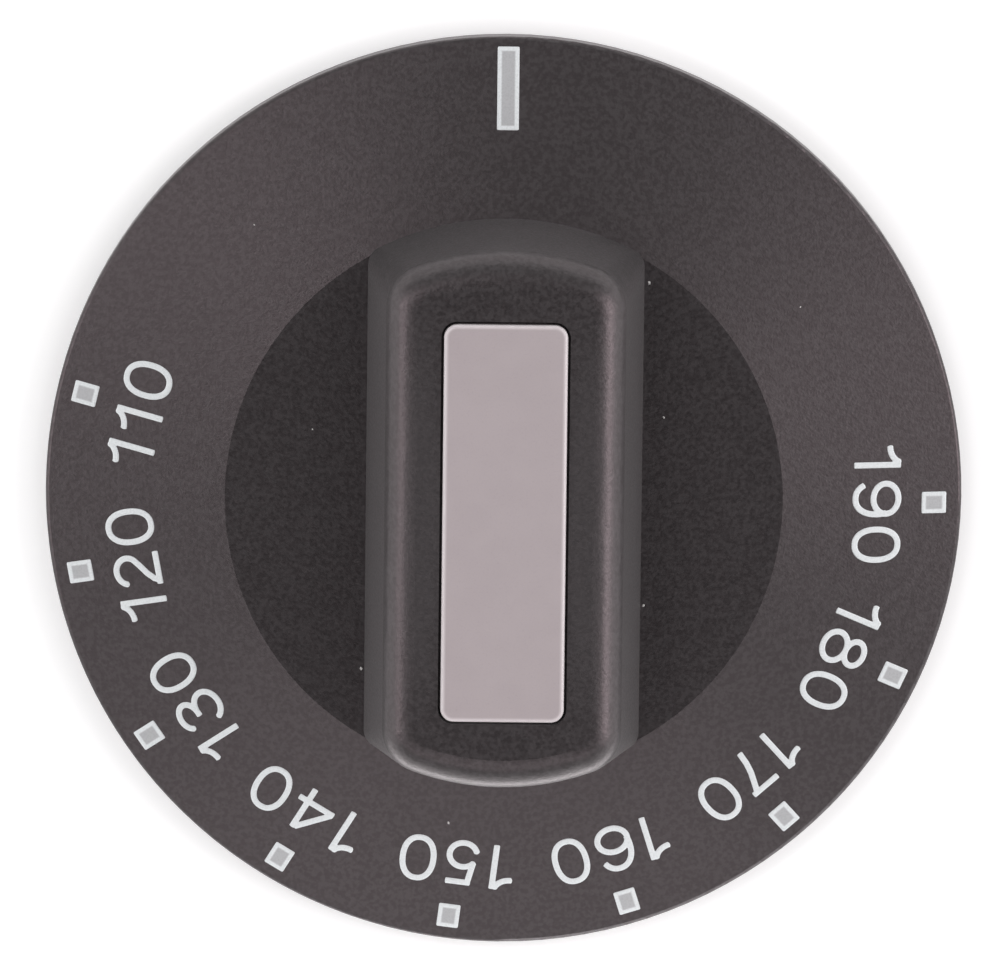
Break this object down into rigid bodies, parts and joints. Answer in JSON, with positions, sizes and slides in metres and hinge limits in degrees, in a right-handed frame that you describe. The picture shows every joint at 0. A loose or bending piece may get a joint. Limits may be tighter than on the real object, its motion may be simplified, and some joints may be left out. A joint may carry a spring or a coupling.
{
  "type": "temperature control knob",
  "caption": "Round control knob with a shallow conical skirt, a raised grip bar with a light inlay strip and a printed degree scale, for a shaft with one flat.",
  "frame": {"origin": "on the shaft axis, in the plane of the skirt's rim", "axes": "+Z along the shaft axis, out of the knob's face; +Y towards the index mark; +X completes the right-handed frame"},
  "size_m": [0.07, 0.07, 0.0182],
  "materials": {
    "charcoal_plastic": "fine-grained matt moulding",
    "grey_plastic": "satin",
    "spring_steel": "rolled strip"
  },
  "bodies": {
    "root": {"knob_body": "charcoal_plastic", "grip_inlay": "grey_plastic", "shaft_spring": "spring_steel"}
  },
  "joints": []
}
